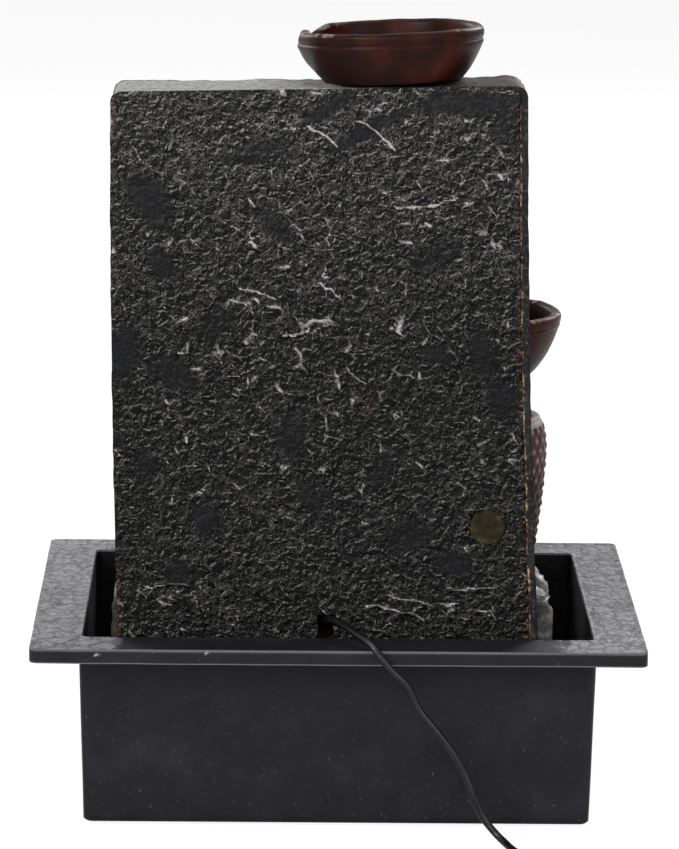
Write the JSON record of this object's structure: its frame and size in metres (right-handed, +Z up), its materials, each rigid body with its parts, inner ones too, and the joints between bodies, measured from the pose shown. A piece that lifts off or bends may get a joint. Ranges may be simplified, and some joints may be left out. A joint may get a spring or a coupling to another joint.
{
  "type": "tabletop water fountain",
  "caption": "Tabletop water fountain: a flanged rectangular basin holding a rock-wall tower with cascading bowls, an urn, a small pump inside and its power lead.",
  "frame": {"origin": "on the table, at the centre of the basin's footprint", "axes": "+Z up; -Y is the front, where the bowls are; +Y is the plain textured back, where the lead leaves; +X is the left side seen from behind"},
  "size_m": [0.32, 0.3389, 0.3945],
  "materials": {
    "basin_resin": "satin black with a hammered stone texture on the flange",
    "front_stone": "cast resin painted as brown rock with a dry-brushed relief",
    "back_stucco": "cast resin, charcoal wrinkled relief with pale worn ridges",
    "ledge_stone": "cast resin painted as grey-brown rock",
    "bowl_glaze": "cast resin with a dark red-brown glaze-like paint, worn pale on the rim",
    "urn_clay": "cast resin, scaly relief, dark reddish brown",
    "hose_vinyl": "translucent vinyl",
    "pump_plastic": "moulded black ABS",
    "dial_plastic": "moulded blue ABS",
    "rubber_black": "matte",
    "core_steel": "laminated steel",
    "coil_copper": "enamelled copper wire",
    "rotor_plastic": "moulded plastic on a ferrite magnet",
    "shaft_ceramic": "ground white ceramic",
    "cord_pvc": "glossy black PVC",
    "plug_plastic": "moulded black PVC",
    "plug_metal": "nickel plated",
    "sticker_foil": "blank olive foil"
  },
  "bodies": {
    "fountain_base": {"basin": "basin_resin", "foot_pad_1": "rubber_black", "foot_pad_2": "rubber_black", "foot_pad_3": "rubber_black", "foot_pad_4": "rubber_black", "suction_cup_1": "rubber_black", "suction_cup_2": "rubber_black", "suction_cup_3": "rubber_black", "suction_cup_4": "rubber_black", "pump_housing": "pump_plastic", "pump_end_cap": "pump_plastic", "cable_gland": "rubber_black", "stator_core": "core_steel", "stator_coil": "coil_copper", "volute_cover": "pump_plastic", "rotor_shaft": "shaft_ceramic", "front_bush": "rubber_black", "rear_bush": "rubber_black", "outlet_nozzle": "pump_plastic", "pump_lead": "cord_pvc", "power_cord": "cord_pvc", "cord_coil": "cord_pvc", "coil_tie": "rubber_black", "plug_body": "plug_plastic", "plug_barrel": "plug_metal"},
    "tower": {"wall_front_shell": "front_stone", "wall_back_panel": "back_stucco", "rock_base": "ledge_stone", "top_bowl": "bowl_glaze", "upper_bowl": "bowl_glaze", "middle_bowl": "bowl_glaze", "lower_bowl": "bowl_glaze", "urn": "urn_clay", "supply_hose": "hose_vinyl", "riser_nozzle": "pump_plastic", "round_sticker": "sticker_foil"},
    "impeller": {"impeller": "rotor_plastic"},
    "strainer": {"strainer_cover": "pump_plastic"},
    "flow_dial": {"flow_dial": "dial_plastic"}
  },
  "joints": [
    {"name": "tower_lift", "type": "slide", "parent": "fountain_base", "child": "tower", "axis": [0, 0, 1], "range_m": [0, 0.12]},
    {"name": "impeller_spin", "type": "hinge", "parent": "fountain_base", "child": "impeller", "pos_m": [0, 0.0652, 0.02715], "axis": [1, 0, 0], "continuous": true},
    {"name": "strainer_pull", "type": "slide", "parent": "fountain_base", "child": "strainer", "axis": [-1, 0, 0], "range_m": [0, 0.014]},
    {"name": "dial_turn", "type": "hinge", "parent": "strainer", "child": "flow_dial", "pos_m": [-0.0246, 0.0652, 0.02715], "axis": [-1, 0, 0], "range_deg": [0, 90]}
  ]
}
